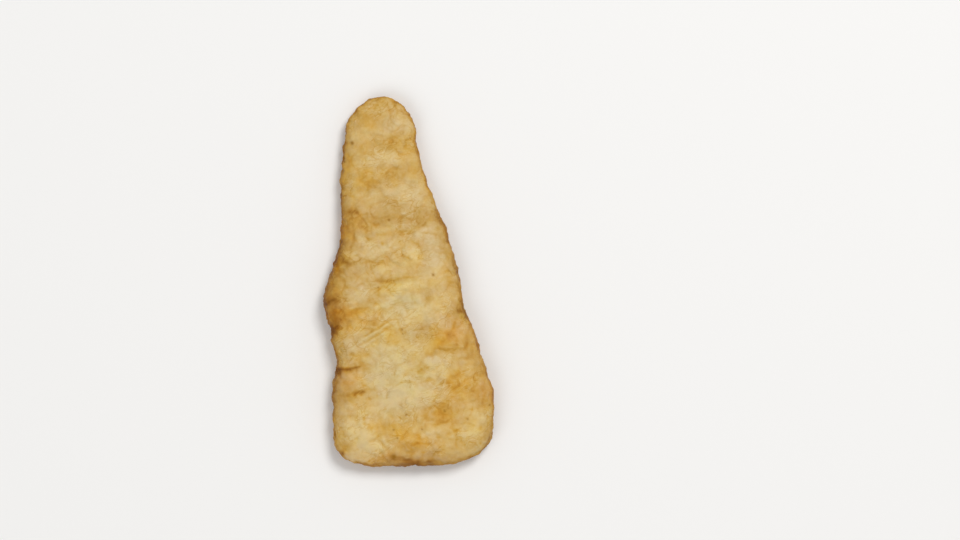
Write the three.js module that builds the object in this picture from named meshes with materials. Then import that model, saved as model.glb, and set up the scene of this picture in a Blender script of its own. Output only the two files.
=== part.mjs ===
// A battered and fried fish fillet, lying on its flat underside.
//
// One piece of food, so one solid. It is a tapered slab: a broad butt end with two round corners, two long
// uneven sides and a narrow round tail. Its side wall is rounded, and its top is a low crown that carries the
// folds the batter took as it set. Millimetres, +Z up, +Y from the butt to the tail, origin under the middle.

import * as THREE from "three";

// Plan outline. Each side is listed from the butt to the tail as [x, y]. The ends are curves between them.
const RIGHT_SIDE = [
  [36.3, -59.6], [36.5, -50.6], [36.2, -46], [34.2, -41.2], [31.5, -33.1], [30.3, -28.3],
  [29, -23.6], [27, -18.2], [24.6, -12.9], [22.9, -5.6], [22.1, 0.4], [19.6, 9.4],
  [17.2, 17.4], [16.5, 22.4], [13.8, 26.7], [11.6, 32.4], [7.4, 44.4], [3.6, 57.4],
];
const LEFT_SIDE = [
  [-32.9, -59.6], [-32.9, -52.6], [-33.6, -48.8], [-32.8, -46.4], [-33.5, -44.4], [-32.2, -40.8],
  [-31.9, -38], [-30.9, -34.9], [-31.7, -32.2], [-32.5, -28.4], [-33.7, -24.6], [-34, -20.6],
  [-34.6, -17.8], [-35.9, -14.8], [-37.3, -8.6], [-36.7, -4.1], [-34.2, 2.4], [-31.4, 11.4],
  [-29.8, 17.9], [-29.5, 25.4], [-29.5, 33.4], [-29.3, 41.4], [-29, 50.4], [-28.2, 59.4],
];
const TAIL_REACH = 20; // from the end of the left side to the tip
const BUTT_REACH = { left: 22.8, right: 17 }; // from the starts of the sides to the butt's edge
const BUTT_SQUARENESS = { left: 3.6, right: 3.1 }; // superellipse powers of its two corners
const END_POINTS = 9; // curve points laid on each end

// Side wall. Insets are measured inwards from the plan outline.
const WIDEST_HEIGHT = 4.4; // where the wall reaches the outline
const FOOT_INSET = 3.4; // how far the resting face lies inside the outline
const SHOULDER_INSET = 9.5; // where the wall has turned into the crown
const SHOULDER_POWER = 2.3; // above 2 is fuller than an ellipse
const WALL_INSETS = [0.2, 0.75, 1.7]; // rings on the wall above its widest height
const FOOT_TURNS = [0, 1 / 3, 2 / 3, 1]; // rings below it, as shares of a quarter turn from the resting face
const RIM_INSET = 3.0; // where the crown's grid begins

// Crown: thickness at stations along the length, and how much lower it is towards the sides.
const THICKNESS = [
  [-80, 12.6], [-62, 14.2], [-38, 15.2], [-8, 14.8], [20, 13.6], [48, 12.0], [80, 10.2],
];
const CROWN_DROP = 0.9;
const CROWN_REACH = 30; // inset at which the crown is at its full thickness

// Folds and lobes of the batter: centre, direction in degrees from +X, length, width and rise. A valley's
// rise is below 0.
const FOLDS = [
  { at: [-0.6, -2.6], turn: 3, long: 25, wide: 3.2, rise: 0.5 },
  { at: [-4.6, 1.3], turn: 6, long: 20, wide: 1.6, rise: -0.5 },
  { at: [-24.6, -5.6], turn: 12, long: 18, wide: 4.0, rise: 0.4 },
  { at: [-27.6, -13.4], turn: 6, long: 18, wide: 3.0, rise: 0.35 },
  { at: [-27.6, -19.2], turn: -8, long: 12, wide: 2.0, rise: -0.55 },
  { at: [-13.1, -21], turn: 33, long: 20, wide: 1.5, rise: 0.45 },
  { at: [-11.1, -16.2], turn: 40, long: 14, wide: 2.2, rise: 0.35 },
  { at: [-26.6, -37.2], turn: 8, long: 17, wide: 1.5, rise: -0.9 },
  { at: [-25.6, -32.6], turn: 6, long: 18, wide: 3.4, rise: 0.4 },
  { at: [-26.6, -42.6], turn: 8, long: 15, wide: 2.8, rise: 0.45 },
  { at: [-20.6, -47.9], turn: 12, long: 9, wide: 1.4, rise: -0.45 },
  { at: [1.4, -43.8], turn: 10, long: 18, wide: 1.5, rise: -0.3 },
  { at: [2.4, -50.6], turn: 14, long: 24, wide: 4.4, rise: 0.35 },
  { at: [14.4, -23.6], turn: -30, long: 17, wide: 4.4, rise: 0.5 },
  { at: [6.4, -21.6], turn: 70, long: 11, wide: 2.8, rise: -0.45 },
  { at: [17.4, -29.2], turn: 2, long: 19, wide: 1.5, rise: -0.45 },
  { at: [11.4, -35.1], turn: 30, long: 17, wide: 3.6, rise: 0.4 },
  { at: [15.4, -60.6], turn: 12, long: 15, wide: 1.8, rise: -0.35 },
  { at: [27.4, -43.6], turn: 60, long: 22, wide: 4.4, rise: 0.4 },
  { at: [-3.6, -66.1], turn: -8, long: 26, wide: 4.6, rise: 0.35 },
  { at: [1.6, 12.9], turn: 25, long: 12, wide: 3.4, rise: 0.55 },
  { at: [-1.6, 10], turn: -25, long: 8, wide: 1.5, rise: -0.4 },
  { at: [1.4, 22.4], turn: 22, long: 15, wide: 1.7, rise: -0.4 },
  { at: [-25.6, 25.4], turn: 30, long: 15, wide: 4.4, rise: 0.35 },
];
const FOLD_FADE = 5; // inset over which the folds grow from nothing

// Ripples across the narrow half. They start between two places along the length, and slant and stray as they
// cross it.
const RIPPLES = {
  start: 4,
  full: 18,
  spacing: 7.4,
  rise: 0.26,
  slant: 0.2,
  stray: { by: 1.9, span: 23, lean: 0.6 },
};

// Slow waves that leave no stretch of the crown flat: wavelength, direction in degrees, phase and height.
const WAVES = [
  { span: 23, turn: 24, phase: 0.6, rise: 0.26 },
  { span: 16, turn: 108, phase: 2.1, rise: 0.2 },
  { span: 11, turn: 61, phase: 4.0, rise: 0.14 },
  { span: 9, turn: 152, phase: 5.2, rise: 0.12 },
];

// Uneven edge of the plan outline: how many swells go round it, their phase and how far they stand out.
const EDGE_SWELLS = [
  { count: 37, phase: 0.4, rise: 0.1 },
  { count: 58, phase: 1.9, rise: 0.1 },
  { count: 79, phase: 4.4, rise: 0.08 },
];

// Mesh: cells across and along the crown. The resting face has half as many each way.
const CELLS_ACROSS = 32;
const CELLS_ALONG = 76;
const TAIL_CROWDING = 0.3; // how much shorter the cells grow towards the tail, where they are narrow too
const OUTLINE_SAMPLES = 1600;
const NORMAL_REACH = 16; // outline samples to each side over which its direction is taken
const GRID_RELAXATIONS = 120; // passes that even the cells out

const CRUST = new THREE.MeshStandardMaterial({ color: 0xcbaa6b, roughness: 0.62, metalness: 0 });

const radians = THREE.MathUtils.degToRad;
const lerp = THREE.MathUtils.lerp;

// A smooth curve through [place, value] stations, held level past its ends.
function alongStations(stations, place) {
  const last = stations.length - 1;
  if (place <= stations[0][0]) return stations[0][1];
  if (place >= stations[last][0]) return stations[last][1];
  const i = stations.findIndex(([start]) => start > place) - 1;
  const t = (place - stations[i][0]) / (stations[i + 1][0] - stations[i][0]);
  return lerp(stations[i][1], stations[i + 1][1], THREE.MathUtils.smoothstep(t, 0, 1));
}

// The tail: half an ellipse from the right side's end over the tip to the left side's end.
function tailPoints() {
  const [rightX] = RIGHT_SIDE.at(-1);
  const [leftX, endY] = LEFT_SIDE.at(-1);
  const middle = (rightX + leftX) / 2;
  const reach = (rightX - leftX) / 2;
  return Array.from({ length: END_POINTS }, (_, i) => {
    const a = (Math.PI * (i + 1)) / (END_POINTS + 1);
    return [middle + reach * Math.cos(a), endY + TAIL_REACH * Math.sin(a)];
  });
}

// The butt: half a superellipse from the left side's start to the right side's start, squarer on the left.
function buttPoints() {
  const [rightX, startY] = RIGHT_SIDE[0];
  const [leftX] = LEFT_SIDE[0];
  const middle = (rightX + leftX) / 2;
  const reach = (rightX - leftX) / 2;
  return Array.from({ length: END_POINTS }, (_, i) => {
    const share = (i + 1) / (END_POINTS + 1);
    const a = Math.PI * share;
    const power = 2 / lerp(BUTT_SQUARENESS.left, BUTT_SQUARENESS.right, share);
    const out = lerp(BUTT_REACH.left, BUTT_REACH.right, share);
    const across = Math.sign(Math.cos(a)) * Math.abs(Math.cos(a)) ** power;
    return [middle - reach * across, startY - out * Math.sin(a) ** power];
  });
}

// The whole plan outline, anticlockwise, as evenly spaced points with swells on them.
function planOutline() {
  const through = [...RIGHT_SIDE, ...tailPoints(), ...LEFT_SIDE.toReversed(), ...buttPoints()];
  const curve = new THREE.CatmullRomCurve3(
    through.map(([x, y]) => new THREE.Vector3(x, y, 0)),
    true,
    "centripetal",
  );
  curve.arcLengthDivisions = OUTLINE_SAMPLES * 4;
  const even = curve.getSpacedPoints(OUTLINE_SAMPLES).slice(0, -1);
  return even.map((p, i) => {
    const round = (2 * Math.PI * i) / OUTLINE_SAMPLES;
    const out = EDGE_SWELLS.reduce((sum, s) => sum + s.rise * Math.sin(s.count * round + s.phase), 0);
    const normal = outwardNormal(even, i);
    return new THREE.Vector2(p.x + out * normal.x, p.y + out * normal.y);
  });
}

// The outline's outward direction at a point, taken over a stretch so that neighbouring insets stay apart.
function outwardNormal(loop, i) {
  const before = loop[(i - NORMAL_REACH + loop.length) % loop.length];
  const after = loop[(i + NORMAL_REACH) % loop.length];
  return new THREE.Vector2(after.y - before.y, before.x - after.x).normalize();
}

function nearestIndex(loop, [x, y]) {
  let best = 0;
  loop.forEach((p, i) => {
    if (Math.hypot(p.x - x, p.y - y) < Math.hypot(loop[best].x - x, loop[best].y - y)) best = i;
  });
  return best;
}

const outline = planOutline();
const normals = outline.map((_, i) => outwardNormal(outline, i));

// Where the crown grid's four corners meet the outline, in its order: the grid's sides run between them.
const GRID_CORNERS = [
  [30.9, -73.1], // butt, right
  [1, 70.4], // tail, right
  [-25.8, 70.4], // tail, left
  [-29.1, -75.1], // butt, left
];

// One side of the grid: places on the outline, as fractional indices, from corner to corner. A positive grade
// crowds them towards the side's end, a negative one towards its start.
function sidePlaces(corner, cells, grade) {
  const start = nearestIndex(outline, GRID_CORNERS[corner]);
  const end = nearestIndex(outline, GRID_CORNERS[(corner + 1) % 4]);
  const count = (end - start + outline.length) % outline.length;
  return Array.from({ length: cells + 1 }, (_, i) => {
    const share = i / cells;
    return start + count * share * (1 + grade * (1 - share));
  });
}

const SIDES = {
  right: sidePlaces(0, CELLS_ALONG, TAIL_CROWDING),
  tail: sidePlaces(1, CELLS_ACROSS, 0),
  left: sidePlaces(2, CELLS_ALONG, -TAIL_CROWDING),
  butt: sidePlaces(3, CELLS_ACROSS, 0),
};
const LOOP = [SIDES.right, SIDES.tail, SIDES.left, SIDES.butt].flatMap((side) => side.slice(0, -1));

// The point of the outline at a fractional index, moved inwards by an inset.
function outlineAt(place, inset) {
  const low = Math.floor(place);
  const share = place - low;
  const [a, b] = [low % outline.length, (low + 1) % outline.length];
  const point = outline[a].clone().lerp(outline[b], share);
  const normal = normals[a].clone().lerp(normals[b], share).normalize();
  return point.addScaledVector(normal, -inset);
}

function insetOf(x, y) {
  let least = Infinity;
  for (const p of outline) least = Math.min(least, (p.x - x) ** 2 + (p.y - y) ** 2);
  return Math.sqrt(least);
}

function foldRise(x, y) {
  return FOLDS.reduce((sum, { at, turn, long, wide, rise }) => {
    const a = radians(turn);
    const [dx, dy] = [x - at[0], y - at[1]];
    const along = (dx * Math.cos(a) + dy * Math.sin(a)) / (long / 2);
    const across = (dy * Math.cos(a) - dx * Math.sin(a)) / wide;
    return sum + rise * Math.exp(-(along ** 4) - across ** 2);
  }, 0);
}

function rippleRise(x, y) {
  const { by, span, lean } = RIPPLES.stray;
  const along = y - RIPPLES.slant * x + by * Math.sin((2 * Math.PI * (x + lean * y)) / span);
  const grown = THREE.MathUtils.smoothstep(y, RIPPLES.start, RIPPLES.full);
  return RIPPLES.rise * grown * Math.sin((2 * Math.PI * along) / RIPPLES.spacing);
}

function waveRise(x, y) {
  return WAVES.reduce((sum, { span, turn, phase, rise }) => {
    const along = x * Math.cos(radians(turn)) + y * Math.sin(radians(turn));
    return sum + rise * Math.sin((2 * Math.PI * along) / span + phase);
  }, 0);
}

// Height of the upper surface, from the wall's widest ring to the crown.
function topHeight(x, y, inset) {
  const turned = Math.min(inset / SHOULDER_INSET, 1);
  const wall = (1 - (1 - turned) ** SHOULDER_POWER) ** (1 / SHOULDER_POWER);
  const towardsSide = 1 - Math.min(inset / CROWN_REACH, 1);
  const thickness = alongStations(THICKNESS, y) - CROWN_DROP * towardsSide ** 2;
  const fade = THREE.MathUtils.smoothstep(inset, 0, FOLD_FADE);
  const relief = foldRise(x, y) + rippleRise(x, y) + waveRise(x, y);
  return lerp(WIDEST_HEIGHT, thickness, wall) + fade * relief;
}

// A grid of plan points that fills an inset of the outline: a Coons patch between its four sides, relaxed.
function planGrid(inset, stride) {
  const pick = (side) => side.filter((_, i) => i % stride === 0).map((place) => outlineAt(place, inset));
  const right = pick(SIDES.right);
  const tail = pick(SIDES.tail).toReversed();
  const left = pick(SIDES.left).toReversed();
  const butt = pick(SIDES.butt);
  const [columns, rows] = [butt.length - 1, right.length - 1];
  const between = (a, b, t) => a.clone().lerp(b, t);
  const grid = Array.from({ length: rows + 1 }, (_, j) =>
    Array.from({ length: columns + 1 }, (_, i) => {
      const [u, v] = [i / columns, j / rows];
      const lengthways = between(butt[i], tail[i], v);
      const crossways = between(left[j], right[j], u);
      const corners = between(between(butt[0], butt[columns], u), between(tail[0], tail[columns], u), v);
      return lengthways.add(crossways).sub(corners);
    }),
  );
  for (let pass = 0; pass < GRID_RELAXATIONS; pass++) {
    for (let j = 1; j < rows; j++) {
      for (let i = 1; i < columns; i++) {
        const around = [grid[j - 1][i], grid[j + 1][i], grid[j][i - 1], grid[j][i + 1]];
        grid[j][i] = around.reduce((sum, p) => sum.add(p), new THREE.Vector2()).multiplyScalar(1 / 4);
      }
    }
  }
  return grid;
}

// The grid's rim as vertex numbers, anticlockwise from the butt's right corner, in the outline's order.
function rimOf(ids) {
  const [rows, columns] = [ids.length - 1, ids[0].length - 1];
  return [
    ...Array.from({ length: rows }, (_, j) => ids[j][columns]),
    ...Array.from({ length: columns }, (_, i) => ids[rows][columns - i]),
    ...Array.from({ length: rows }, (_, j) => ids[rows - j][0]),
    ...Array.from({ length: columns }, (_, i) => ids[0][i]),
  ];
}

function filletGeometry() {
  const positions = [];
  const triangles = [];
  const vertex = (x, y, z) => positions.push(x, y, z) / 3 - 1;
  const quad = (a, b, c, d) => triangles.push(a, b, c, a, c, d);

  // Crown, facing up.
  const crown = planGrid(RIM_INSET, 1).map((row) =>
    row.map(({ x, y }) => vertex(x, y, topHeight(x, y, insetOf(x, y)))),
  );
  // Resting face, facing down.
  const base = planGrid(FOOT_INSET, 2).map((row) => row.map(({ x, y }) => vertex(x, y, 0)));
  for (const [grid, facesUp] of [[crown, true], [base, false]]) {
    const [rows, columns] = [grid.length - 1, grid[0].length - 1];
    for (let j = 0; j < rows; j++) {
      for (let i = 0; i < columns; i++) {
        const around = [grid[j][i], grid[j][i + 1], grid[j + 1][i + 1], grid[j + 1][i]];
        // Each cell is split along the diagonal that points to the grid's nearest corner.
        const straight = 2 * i < columns === 2 * j < rows;
        const [a, b, c, d] = straight ? around : [...around.slice(1), around[0]];
        if (facesUp) quad(a, b, c, d);
        else quad(a, d, c, b);
      }
    }
  }

  // Wall rings from the foot to the crown's rim.
  const ring = (inset, heightAt) =>
    LOOP.map((place) => {
      const p = outlineAt(place, inset);
      return vertex(p.x, p.y, heightAt(p));
    });
  const footRings = FOOT_TURNS.slice(1).map((share) => {
    const a = (Math.PI / 2) * share;
    return ring(FOOT_INSET * (1 - Math.sin(a)), () => WIDEST_HEIGHT * (1 - Math.cos(a)));
  });
  const wallRings = WALL_INSETS.map((inset) => ring(inset, (p) => topHeight(p.x, p.y, inset)));
  const rings = [...footRings, ...wallRings, rimOf(crown)];
  for (let k = 0; k + 1 < rings.length; k++) {
    for (let i = 0; i < LOOP.length; i++) {
      const next = (i + 1) % LOOP.length;
      quad(rings[k][i], rings[k][next], rings[k + 1][next], rings[k + 1][i]);
    }
  }

  // The base's rim has every second place of the loop, so each of its edges meets two of the first ring's.
  const foot = rimOf(base);
  foot.forEach((here, i) => {
    const next = foot[(i + 1) % foot.length];
    const [a, b, c] = [0, 1, 2].map((step) => rings[0][(2 * i + step) % LOOP.length]);
    triangles.push(here, b, a, here, next, b, next, c, b);
  });

  const geometry = new THREE.BufferGeometry();
  geometry.setAttribute("position", new THREE.Float32BufferAttribute(positions, 3));
  geometry.setIndex(triangles);
  centreOverOrigin(geometry);
  geometry.computeVertexNormals();
  return geometry;
}

function centreOverOrigin(geometry) {
  geometry.computeBoundingBox();
  const middle = geometry.boundingBox.getCenter(new THREE.Vector3());
  geometry.translate(-middle.x, -middle.y, 0);
}

const fillet = new THREE.Mesh(filletGeometry(), CRUST);
fillet.name = "fillet";

const part = new THREE.Group();
part.add(fillet);

export default part;
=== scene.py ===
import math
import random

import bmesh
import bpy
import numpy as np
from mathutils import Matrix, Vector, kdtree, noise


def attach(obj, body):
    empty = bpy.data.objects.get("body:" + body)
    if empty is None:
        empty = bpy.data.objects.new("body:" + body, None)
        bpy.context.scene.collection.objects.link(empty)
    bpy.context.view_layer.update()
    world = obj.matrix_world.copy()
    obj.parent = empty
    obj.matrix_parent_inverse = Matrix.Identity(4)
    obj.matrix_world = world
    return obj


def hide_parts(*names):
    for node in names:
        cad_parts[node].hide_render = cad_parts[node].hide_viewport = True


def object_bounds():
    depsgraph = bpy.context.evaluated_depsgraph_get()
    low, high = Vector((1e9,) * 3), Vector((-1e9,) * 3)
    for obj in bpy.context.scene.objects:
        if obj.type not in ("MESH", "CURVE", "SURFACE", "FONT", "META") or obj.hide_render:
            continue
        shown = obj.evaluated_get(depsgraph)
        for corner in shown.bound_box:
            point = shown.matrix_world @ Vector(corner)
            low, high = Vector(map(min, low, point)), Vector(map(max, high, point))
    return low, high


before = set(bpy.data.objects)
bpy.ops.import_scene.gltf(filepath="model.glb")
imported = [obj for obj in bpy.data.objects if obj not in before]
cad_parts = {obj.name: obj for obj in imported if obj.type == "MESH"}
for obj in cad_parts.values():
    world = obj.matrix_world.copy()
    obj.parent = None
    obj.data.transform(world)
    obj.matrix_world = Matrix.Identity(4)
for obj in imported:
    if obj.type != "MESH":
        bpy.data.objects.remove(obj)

# A battered and fried fish fillet on a pale floor, seen from straight above.
#
# The CAD fillet is copied and made finer. Lobes, overlaps, creases, ribs, blisters, crinkles and pits then
# move its surface, and masks on its vertices say how pale, vivid, pinkish and burnt the crust is. The
# paleness holds painted light on the rises and painted shade in the creases and crinkles. The material
# paints by them. Places on the fillet are in millimetres along the CAD frame's axes, measured from
# PLACES_FROM. +Y runs from the butt to the tail.

CAD_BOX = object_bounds()
MM = 0.001  # in metres
PLACES_FROM = (0.38, 0.17)  # in the CAD frame, in millimetres
FINER_LEVELS = 2  # of subdivision

# -------------------------------- relief, in millimetres

# Soft lobes: x, y, reach along, reach across, direction in degrees from +X, rise. A hollow's is below 0.
LOBES = [
    (1.6, 12.9, 5, 3.4, 20, 0.24), (8.5, 10, 3, 5, 10, -0.25), (-25, 25, 5, 4.5, 0, 0.25),
    (-14.5, 17.5, 2.2, 2.8, 60, 0.25), (-19, 22, 3.5, 2.5, 20, 0.2), (-9, 5.5, 6, 2.2, 10, 0.2),
    (5.5, -21.5, 5.5, 2.6, 80, -0.35), (-14.6, -17.4, 2.2, 1.5, 30, -0.35), (14.5, -23.5, 6, 4, -25, 0.25),
    (12, -34.5, 5.5, 3.6, 30, 0.25), (-6, -48.5, 5.5, 4, 40, 0.3), (3, -50, 5, 3.4, 10, 0.2),
    (-26, -42, 6, 3, 5, 0.3), (-27.5, -48.5, 3.5, 2.4, 0, -0.3), (25.5, -41, 6, 4, 60, 0.25),
    (-10, -33.5, 7, 4.5, 10, -0.15), (9, -65, 4, 2.6, 10, 0.2), (-22, -63, 5, 4, 40, 0.2),
    (7.5, -4.5, 2.6, 2.2, 0, -0.25),
]

# Overlaps, where one lap of batter set over the next: path, rise of the lap, its width. The lap lies to the
# left of the path's direction, or to the right of it where the rise is below 0.
OVERLAPS = [
    ([(-20, -36.2), (-22.1, -36.4), (-24, -37), (-26.1, -37.6), (-28.8, -37.7), (-31.5, -37.4)], -0.9, 3.4),
    ([(-6.6, 1), (-3.8, 1.5), (-1.8, 1.7), (1, 1.4), (4.2, 1.6), (8.5, 0.9)], -0.45, 2.6),
    ([(9.4, -28.9), (12.6, -28.4), (15.8, -29.5), (19.6, -28.5), (26.2, -28)], 0.4, 2.4),
    ([(-9.5, -48.8), (-7.9, -46.7), (-5.2, -44.5), (-3.6, -43.2), (-0.3, -42.6), (3.4, -43.2)], -0.45, 2.6),
    ([(2, 21.6), (4.4, 22.5), (5.8, 24), (8.4, 24.8)], 0.3, 2),
    ([(-2.8, 11), (-1.4, 9.9), (0.1, 9.6), (2.4, 10.2)], 0.4, 2.2),
    ([(12.6, -60.1), (15.8, -60.4), (18, -59.3)], 0.35, 2.4),
    ([(-23.4, -48.5), (-21.8, -47.3), (-19.7, -46.9), (-17.8, -47)], 0.4, 1.8),
]

# Creases: path, half width, depth.
CREASES = [
    # the tail half
    ([(-14, 0.9), (-12.3, -0.1), (-9.5, 0.1), (-6.5, 0.4), (-4.4, 1.3), (-1, 1.7), (3.6, 1.6)], 0.6, 0.16),
    ([(-3.4, 14.4), (-3.1, 12.8), (-3.4, 11.3)], 0.4, 0.12),
    ([(-3.6, 11.3), (-2, 10.7), (-0.4, 9.9), (0.8, 9.3)], 0.5, 0.3),
    ([(0.5, 16.9), (2.6, 16.2), (4.1, 15.7), (4.9, 14), (5.3, 12)], 0.45, 0.18),
    ([(-18.9, 8.3), (-17.3, 8.7), (-15.4, 8.3), (-13.5, 7.7), (-12, 8.5), (-10.3, 9.4)], 0.45, 0.22),
    ([(-18.3, 8.2), (-18.5, 6), (-17.9, 3.7), (-17.2, 2.6)], 0.45, 0.14),
    ([(-15.8, 24.7), (-14, 24.2), (-12.4, 24.5)], 0.7, 0.2),
    ([(-14.5, 20.4), (-12, 20.1), (-9.5, 20)], 0.45, 0.14),
    ([(-18.2, 22.6), (-18.5, 20.8), (-18.2, 19), (-17.6, 17.3)], 0.6, 0.16),
    ([(-21.6, 14.7), (-19.6, 14.9), (-18.2, 15.8)], 0.4, 0.15),
    ([(-23.8, 21), (-23.4, 18.5), (-22.4, 17.2), (-21.8, 15.6)], 0.6, 0.16),
    ([(-4.2, 21.4), (-2, 21.4), (0.3, 21), (1.8, 21.6), (2.7, 23), (3.4, 24.4), (5.3, 25.3)], 0.7, 0.08),
    ([(5.4, 23.3), (6.7, 24.4), (7.3, 25.8)], 0.55, 0.18),
    ([(-1.2, 19.2), (-0.9, 17.4)], 0.5, 0.08),
    ([(-22.9, -2.3), (-21.3, -1.2), (-18.8, -0.8)], 0.45, 0.18),
    ([(-12.6, -2.4), (-13, -4.4), (-12.9, -6.8)], 0.55, 0.18),
    ([(-32, 5), (-30, 4.3), (-27.4, 4)], 0.8, 0.22),
    ([(-29.5, 9.7), (-26.8, 8.2), (-24.6, 6.4)], 1.1, 0.12),
    ([(8.4, 1), (8.2, -2.8)], 0.7, 0.1),
    # the middle
    ([(-2.2, -9.9), (1, -9.7), (4.4, -9.5)], 0.55, 0.12),
    ([(6.6, -9.8), (7.2, -11.6)], 0.45, 0.14),
    ([(-20.4, -24.5), (-17.5, -22.6), (-15.3, -21.1), (-11, -18.5), (-7, -15.8)], 0.42, 0.23),
    ([(-18.6, -26), (-13.8, -23), (-11.8, -21.7), (-9.8, -20.5), (-6.6, -18.6)], 0.45, 0.21),
    ([(-25.7, -13.7), (-24, -12.7), (-22.3, -12), (-20.5, -11.6), (-18, -12), (-15.3, -13.4)], 0.8, 0.16),
    ([(-4.9, -16.8), (-4.2, -19.4), (-3.4, -21.6), (-2.5, -23.2)], 0.45, 0.2),
    ([(19.9, -17), (19.5, -18.7), (19.1, -20.6)], 0.7, 0.18),
    ([(10.4, -28.8), (12.6, -28.6), (15.8, -29.6), (19.6, -28.8), (25, -28.2)], 0.5, 0.12),
    ([(-31.4, -19), (-30, -20), (-28.4, -20.4)], 0.8, 0.16),
    ([(5, -17.4), (5.3, -20.5)], 0.5, 0.12),
    ([(7.3, -29.6), (7.1, -31.2), (7.4, -32.6)], 0.5, 0.12),
    ([(10.4, -32.6), (10, -33.8), (10.4, -34.8)], 0.4, 0.14),
    ([(13.4, -32.2), (14.4, -32.8), (16.6, -32.4)], 0.4, 0.12),
    ([(12.6, -36), (11.4, -37.4)], 0.4, 0.12),
    # the butt half
    ([(-32.5, -37.2), (-29, -37.5), (-27, -38), (-24.6, -37.4)], 0.6, 0.38),
    ([(-27, -38), (-25.4, -37.6), (-23, -36.9), (-19.8, -36)], 0.5, 0.3),
    ([(-23.6, -49.2), (-22.4, -47.9), (-21.2, -47.2), (-18, -47.1)], 0.6, 0.2),
    ([(-17.6, -45.4), (-16.5, -46.2), (-14, -46.4)], 0.5, 0.14),
    ([(-17.4, -49.6), (-16.2, -51.2)], 0.6, 0.16),
    ([(-6.4, -44.5), (-5, -44.3), (-3.5, -43.3), (-1.5, -42.9), (0.8, -43), (3.4, -43.2)], 0.45, 0.26),
    ([(3.4, -43.2), (6, -43), (8.5, -42.5), (11, -41.7)], 0.6, 0.2),
    ([(-8.2, -47), (-9.4, -48.6), (-9.9, -50.4)], 0.5, 0.24),
    ([(-28.7, -50.4), (-27, -51.2), (-25, -51), (-23.8, -50.4)], 0.7, 0.14),
    ([(3.2, -39), (4.7, -38.4), (5.9, -37.2)], 0.55, 0.34),
    ([(9.8, -38.2), (12.2, -36.8)], 0.45, 0.1),
    ([(28.5, -41.2), (27.8, -43.8)], 0.6, 0.25),
    ([(29.3, -38.8), (29.2, -40.6)], 0.4, 0.2),
    ([(26.6, -45.2), (26.9, -46.8), (28, -47.4), (29, -48.2), (29.8, -49.8)], 0.5, 0.16),
    ([(4.8, -55.4), (7, -54.5), (10.4, -54)], 0.6, 0.14),
    ([(9.3, -61.7), (12, -61.2), (13.6, -60.5), (15.8, -60.2), (17.6, -59.2)], 0.65, 0.3),
    ([(-13.7, -67.2), (-12, -69), (-10.8, -70.3), (-9.7, -72.2)], 0.6, 0.16),
    ([(-20.2, -61.5), (-21.4, -62.4), (-21.8, -63.6)], 0.4, 0.16),
    ([(-8.6, -58.4), (-8.6, -61), (-8.1, -62.6)], 0.5, 0.15),
    ([(19.6, -68), (21, -67.6), (22.2, -66.7)], 0.4, 0.13),
    ([(2.6, -41.7), (6.5, -41.9), (9.8, -41.2)], 0.4, 0.1),
    ([(21.8, -67.8), (23, -69.6), (24.7, -71.2)], 0.6, 0.12),
]

# Ribs: path, half width, height.
RIBS = [
    ([(-26, -30.2), (-21.7, -26.6), (-19, -24.6), (-16, -22.6), (-13.5, -21), (-7, -16.9)], 0.55, 0.3),
    ([(-20.6, -28.6), (-16.6, -26), (-13, -23.8), (-9.8, -21.6)], 0.55, 0.17),
    ([(-26.2, -12), (-23, -11.2), (-20.2, -10.7)], 0.6, 0.18),
    ([(-16.7, -11.4), (-11, -10.4), (-8, -9), (-4.8, -5.8)], 0.9, 0.22),
    ([(-13.2, -19), (-12, -17.4), (-10.5, -16), (-8.8, -14.4)], 0.7, 0.22),
    ([(-12.6, -3.6), (-6, -3.2), (2, -1.6), (9, -1)], 2, 0.2),
    ([(-15.2, 21.2), (-11.5, 21.8), (-8, 22.4), (-4.6, 23)], 1, 0.18),
    ([(-0.2, 19), (3, 19.8), (5.5, 21.4), (7.9, 22.7)], 1.1, 0.22),
    ([(-9.2, 14.4), (-7.6, 16.3), (-5.6, 18.4)], 0.7, 0.24),
    ([(8.8, -44.1), (11, -44.8), (13, -45.2), (14, -46.6)], 0.55, 0.2),
    ([(-11.6, -65.8), (-10.8, -67.5), (-10.4, -69), (-8.6, -70.3), (-6.8, -70.9)], 0.7, 0.24),
    ([(5.7, -62.2), (6.3, -60.6), (6.9, -59)], 0.55, 0.2),
    ([(4.3, -57.2), (4.1, -60)], 0.6, 0.18),
    ([(0.3, -26.6), (2.6, -27.4), (4.7, -27)], 0.55, 0.14),
    ([(14.3, -27.5), (17, -28.1), (19.7, -28.1)], 0.45, 0.16),
    ([(8.2, -30.4), (10.5, -29.5), (13.2, -29.5)], 0.6, 0.16),
    ([(5.3, -11), (6.7, -9.2)], 0.45, 0.14),
    ([(5.6, -65.4), (5.3, -67.6)], 0.5, 0.14),
    ([(22.4, -22.3), (22.9, -25.5), (22.3, -29)], 0.9, 0.14),
    ([(8.9, -36.9), (10.6, -35.4), (12.4, -34.3), (15.2, -33.5)], 0.55, 0.24),
    ([(11.2, -31.6), (12, -33.2), (13.6, -35), (14.4, -36.8)], 0.45, 0.16),
    ([(9.6, -40.1), (13, -38.9), (16.4, -38.6)], 0.5, 0.16),
    ([(1.6, -41), (3.6, -40.4), (5.6, -40.8), (10, -40.4)], 0.45, 0.14),
    ([(-9, -48.6), (-7.4, -46.6), (-4.6, -44.4), (-2.6, -43.9), (0.6, -44.2)], 0.6, 0.2),
    ([(-4.4, -47.6), (-2.4, -46.9), (0.4, -47.8)], 0.5, 0.14),
    ([(-0.6, -53.8), (1.4, -52.9), (3.6, -53.4)], 0.6, 0.16),
    ([(6.4, -32.8), (7.2, -34.6), (9.4, -35.6)], 0.55, 0.14),
]

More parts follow.
